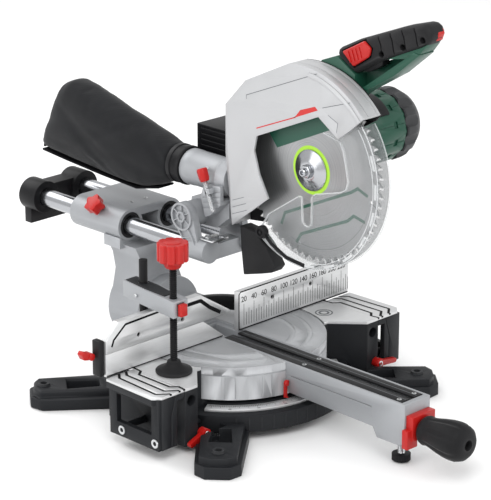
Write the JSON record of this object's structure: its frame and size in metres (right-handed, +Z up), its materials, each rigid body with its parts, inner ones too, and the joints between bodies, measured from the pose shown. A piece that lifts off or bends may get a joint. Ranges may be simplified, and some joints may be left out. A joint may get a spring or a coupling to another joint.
{
  "type": "sliding compound mitre saw",
  "caption": "Sliding compound mitre saw on its own four-legged base, with tilting head on two rails, clear blade guard, dust bag, clamp and sliding table extensions.",
  "frame": {"origin": "on the floor, below the middle of the whole saw's bounding box", "axes": "+X is the operator's right, +Y points away from the operator along the rails, +Z is up"},
  "size_m": [0.509, 0.827, 0.59],
  "materials": {
    "cast_silver": "cast, silver paint",
    "machined_alloy": "machined",
    "guard_paint": "light grey, satin",
    "base_plastic": "dark grey, textured",
    "black_plastic": "black",
    "soft_rubber": "black, soft",
    "red_plastic": "red",
    "green_plastic": "dark green",
    "bare_steel": "brushed",
    "rail_chrome": "hard chrome",
    "bag_fabric": "woven, black",
    "clear_guard": "smoky clear polycarbonate"
  },
  "bodies": {
    "base": {"base_casting": "base_plastic", "leg_front_left": "base_plastic", "leg_front_right": "base_plastic", "leg_rear_left": "base_plastic", "leg_rear_right": "base_plastic", "mitre_scale": "machined_alloy", "table_left": "machined_alloy", "table_right": "machined_alloy", "fence_left": "machined_alloy", "fence_right": "machined_alloy", "fence_bridge": "black_plastic"},
    "extension_left": {"ext_left_plate": "machined_alloy", "ext_left_frame": "base_plastic"},
    "extension_right": {"ext_right_plate": "machined_alloy", "ext_right_frame": "base_plastic"},
    "extension_lock_left": {"ext_left_lock": "red_plastic"},
    "extension_lock_right": {"ext_right_lock": "red_plastic"},
    "sliding_fence": {"fence_upper": "machined_alloy", "fence_end": "black_plastic"},
    "fence_lock": {"fence_lever": "red_plastic"},
    "turntable": {"turntable_disc": "machined_alloy", "mitre_arm": "cast_silver", "kerf_plate_left": "black_plastic", "kerf_plate_right": "black_plastic", "bevel_bracket": "cast_silver"},
    "mitre_latch": {"mitre_latch": "red_plastic"},
    "mitre_grip": {"mitre_grip": "soft_rubber"},
    "levelling_foot": {"levelling_foot": "black_plastic"},
    "bevel_arm": {"bevel_arm": "cast_silver"},
    "bevel_lock": {"bevel_lock_lever": "red_plastic"},
    "rail_lock": {"rail_lock_knob": "red_plastic"},
    "carriage": {"rail_near": "rail_chrome", "rail_far": "rail_chrome", "rear_cap": "black_plastic", "pivot_bracket": "cast_silver"},
    "stop_plate": {"stop_plate": "bare_steel"},
    "head": {"head_arm": "cast_silver", "dust_port": "guard_paint", "upper_guard": "guard_paint", "guard_inner": "black_plastic", "motor_housing": "green_plastic", "motor_cap": "black_plastic", "handle_frame": "green_plastic", "handle_grip": "soft_rubber", "dust_chute": "soft_rubber", "dust_collar": "black_plastic", "dust_bag": "bag_fabric"},
    "battery": {"battery": "black_plastic"},
    "depth_stop": {"depth_stop_screw": "red_plastic"},
    "trigger": {"trigger": "black_plastic"},
    "lock_off": {"lock_off_button": "red_plastic"},
    "blade": {"blade": "bare_steel", "arbor": "bare_steel"},
    "lower_guard": {"lower_guard": "clear_guard", "guard_roller": "black_plastic"},
    "clamp": {"clamp_post": "black_plastic", "clamp_arm": "cast_silver"},
    "clamp_release": {"clamp_release": "red_plastic"},
    "clamp_pad": {"clamp_pad": "soft_rubber"},
    "clamp_screw": {"clamp_screw": "red_plastic"}
  },
  "joints": [
    {"name": "mitre_swing", "type": "hinge", "parent": "base", "child": "turntable", "pos_m": [0.0135, 0.0225, 0.06], "axis": [0, 0, 1], "range_deg": [-47, 47]},
    {"name": "bevel_tilt", "type": "hinge", "parent": "turntable", "child": "bevel_arm", "pos_m": [0.0135, 0.1825, 0.0933], "axis": [0, 1, 0], "range_deg": [-20, 0]},
    {"name": "rail_slide", "type": "slide", "parent": "bevel_arm", "child": "carriage", "axis": [0, -1, 0], "range_m": [-0.11, 0.078]},
    {"name": "head_swing", "type": "hinge", "parent": "carriage", "child": "head", "pos_m": [0.0135, 0.0665, 0.266], "axis": [1, 0, 0], "range_deg": [0, 42.5], "stiffness_Nm_per_rad": 14, "springref_deg": -74.48},
    {"name": "blade_spin", "type": "hinge", "parent": "head", "child": "blade", "pos_m": [0.0135, -0.1315, 0.365], "axis": [1, 0, 0], "continuous": true},
    {"name": "lower_guard_swing", "type": "hinge", "parent": "head", "child": "lower_guard", "pos_m": [0.0135, -0.1315, 0.365], "axis": [1, 0, 0], "range_deg": [-130.1, 0]},
    {"name": "stop_plate_swing", "type": "hinge", "parent": "carriage", "child": "stop_plate", "pos_m": [-0.0245, 0.0285, 0.24], "axis": [0, 0, 1], "range_deg": [-40, 0]},
    {"name": "depth_stop_feed", "type": "slide", "parent": "head", "child": "depth_stop", "axis": [0, 0.3779, 0.9258], "range_m": [0, 0.01]},
    {"name": "trigger_squeeze", "type": "hinge", "parent": "head", "child": "trigger", "pos_m": [0.0405, -0.1995, 0.518], "axis": [-1, 0, 0], "range_deg": [0, 5], "stiffness_Nm_per_rad": 1, "springref_deg": -11.46},
    {"name": "lock_off_press", "type": "slide", "parent": "head", "child": "lock_off", "axis": [1, 0, 0], "range_m": [0, 0.0025], "stiffness_N_per_m": 400, "springref_m": -0.002},
    {"name": "battery_slide", "type": "slide", "parent": "head", "child": "battery", "axis": [0, 1, 0], "range_m": [0, 0.05]},
    {"name": "bevel_lock_turn", "type": "hinge", "parent": "bevel_arm", "child": "bevel_lock", "pos_m": [0.0135, 0.2305, 0.0933], "axis": [0, -1, 0], "range_deg": [0, 45]},
    {"name": "rail_lock_turn", "type": "hinge", "parent": "bevel_arm", "child": "rail_lock", "pos_m": [-0.0451, 0.2345, 0.2426], "axis": [-0.7071, 0, 0.7071], "range_deg": [0, 180]},
    {"name": "mitre_latch_press", "type": "hinge", "parent": "turntable", "child": "mitre_latch", "pos_m": [0.0135, -0.3315, 0.056], "axis": [0, 1, 0], "range_deg": [0, 12], "stiffness_Nm_per_rad": 2, "springref_deg": -17.19},
    {"name": "mitre_grip_turn", "type": "hinge", "parent": "turntable", "child": "mitre_grip", "pos_m": [0.0135, -0.3775, 0.056], "axis": [0, -1, 0], "range_deg": [0, 120]},
    {"name": "levelling_foot_feed", "type": "slide", "parent": "turntable", "child": "levelling_foot", "axis": [0, 0, 1], "range_m": [-0.001, 0.008]},
    {"name": "extension_left_slide", "type": "slide", "parent": "base", "child": "extension_left", "axis": [-1, 0, 0], "range_m": [0, 0.08]},
    {"name": "extension_right_slide", "type": "slide", "parent": "base", "child": "extension_right", "axis": [1, 0, 0], "range_m": [0, 0.08]},
    {"name": "extension_left_lock_turn", "type": "hinge", "parent": "base", "child": "extension_lock_left", "pos_m": [-0.1475, -0.0905, 0.024], "axis": [0, 1, 0], "range_deg": [0, 50]},
    {"name": "extension_right_lock_turn", "type": "hinge", "parent": "base", "child": "extension_lock_right", "pos_m": [0.1975, -0.0905, 0.028], "axis": [0, -1, 0], "range_deg": [0, 50]},
    {"name": "fence_slide", "type": "slide", "parent": "base", "child": "sliding_fence", "axis": [-1, 0, 0], "range_m": [0, 0.07]},
    {"name": "fence_lock_turn", "type": "hinge", "parent": "sliding_fence", "child": "fence_lock", "pos_m": [-0.2385, 0.0355, 0.124], "axis": [0, 1, 0], "range_deg": [0, 35]},
    {"name": "clamp_swivel", "type": "hinge", "parent": "base", "child": "clamp", "pos_m": [-0.1325, 0.0425, 0.12], "axis": [0, 0, 1], "range_deg": [-35, 15]},
    {"name": "clamp_release_press", "type": "slide", "parent": "clamp", "child": "clamp_release", "axis": [0, 1, 0], "range_m": [0, 0.003], "stiffness_N_per_m": 400, "springref_m": -0.002},
    {"name": "clamp_feed", "type": "slide", "parent": "clamp", "child": "clamp_pad", "axis": [0, 0, 1], "range_m": [0, 0.0451]},
    {"name": "clamp_turn", "type": "hinge", "parent": "clamp_pad", "child": "clamp_screw", "pos_m": [-0.1445, -0.0295, 0.2], "axis": [0, 0, 1], "range_deg": [0, 5400]}
  ],
  "couplings": [
    {"joint": "lower_guard_swing", "follows": "head_swing", "ratio": -3.0588},
    {"joint": "clamp_feed", "follows": "clamp_turn", "m_per_rad": 0.00047746}
  ]
}
